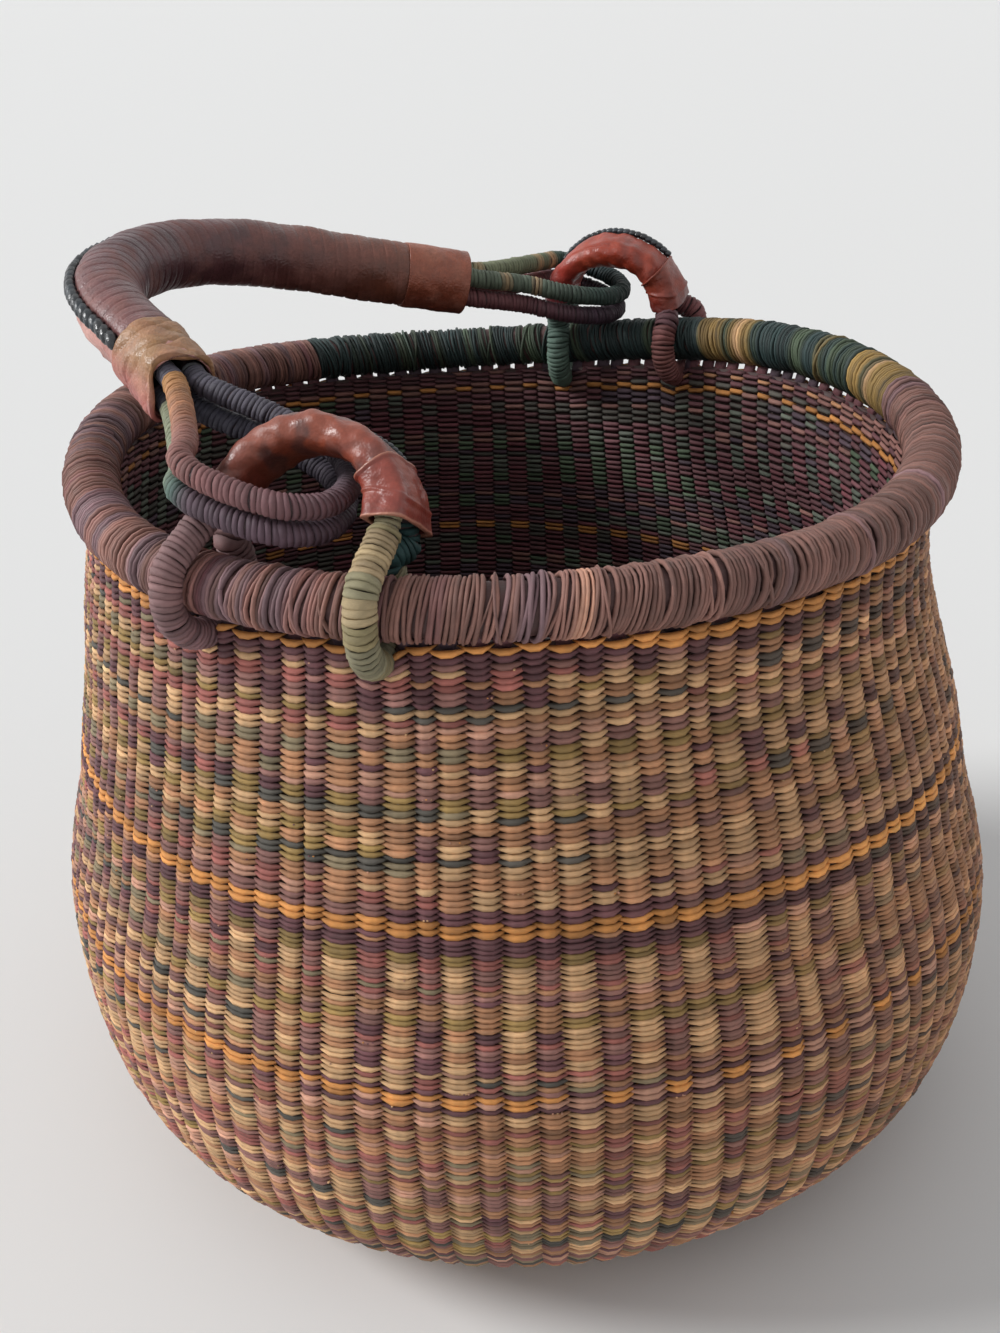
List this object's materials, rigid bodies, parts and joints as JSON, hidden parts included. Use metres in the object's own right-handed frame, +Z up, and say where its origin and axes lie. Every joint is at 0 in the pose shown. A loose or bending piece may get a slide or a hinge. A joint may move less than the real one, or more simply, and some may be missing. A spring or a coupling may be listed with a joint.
{
  "type": "bolga basket",
  "caption": "Round woven grass market basket with a wide belly, a thick wrapped rim, rope ears and a leather-covered bail handle that swings over to rest on one side.",
  "frame": {"origin": "middle of the flat woven floor's underside, on the plane that the basket stands on", "axes": "+Z up out of the mouth, +Y from the near ear to the far ear along the handle's hinge line, -X the side on which the handle rests"},
  "size_m": [0.4646, 0.4482, 0.4182],
  "materials": {
    "straw_natural": "twined grass, olive straw and mauve, matt with a slight sheen",
    "straw_orange": "grass dyed orange",
    "straw_mauve": "grass dyed mauve brown, wound",
    "straw_pale": "undyed pale straw, wound",
    "straw_green": "grass dyed dark green, wound",
    "pith": "bundled stems inside the rim",
    "rope_near_ear": "twisted grass rope, pale sage, dark teal and mauve",
    "rope_far_ear": "twisted grass rope, green teal and dusty rose",
    "rope_rose": "twisted grass rope, rose and tan",
    "rope_purple": "twisted grass rope, grey purple",
    "leather_brown": "soft goat leather, worn, dark brown red",
    "leather_pink": "soft leather, wrinkled, pinkish",
    "leather_red": "soft leather, mottled orange red",
    "leather_dark_red": "soft leather, dark red, folded band",
    "leather_tan": "soft leather, tan brown, wrinkled",
    "leather_black": "black leather cord, slightly shiny"
  },
  "bodies": {
    "basket": {"base_floor": "straw_natural", "wall_foot": "straw_natural", "band_low": "straw_orange", "wall_belly": "straw_natural", "band_middle": "straw_orange", "wall_shoulder": "straw_natural", "band_top": "straw_orange", "rim_core": "pith", "rim_wrap_mauve_left": "straw_mauve", "rim_wrap_pale_front": "straw_pale", "rim_wrap_mauve_right": "straw_mauve", "rim_wrap_pale_right": "straw_pale", "rim_wrap_green_right": "straw_green", "rim_wrap_pale_far": "straw_pale", "rim_wrap_green_far": "straw_green", "ear_near_rope": "rope_near_ear", "ear_near_sleeve": "leather_red", "ear_near_collar": "leather_dark_red", "ear_near_edging": "leather_black", "ear_far_rope": "rope_far_ear", "ear_far_sleeve": "leather_red", "ear_far_collar": "leather_dark_red", "ear_far_edging": "leather_black"},
    "handle": {"handle_rope_upper": "rope_rose", "handle_rope_lower": "rope_purple", "grip_sleeve": "leather_pink", "grip_wrap": "leather_brown", "grip_collar_near": "leather_tan", "grip_collar_far": "leather_tan", "grip_lacing": "leather_black"}
  },
  "joints": [
    {"name": "handle_swing", "type": "hinge", "parent": "basket", "child": "handle", "pos_m": [0, 0, 0.354], "axis": [0, 1, 0], "range_deg": [0, 148]}
  ]
}
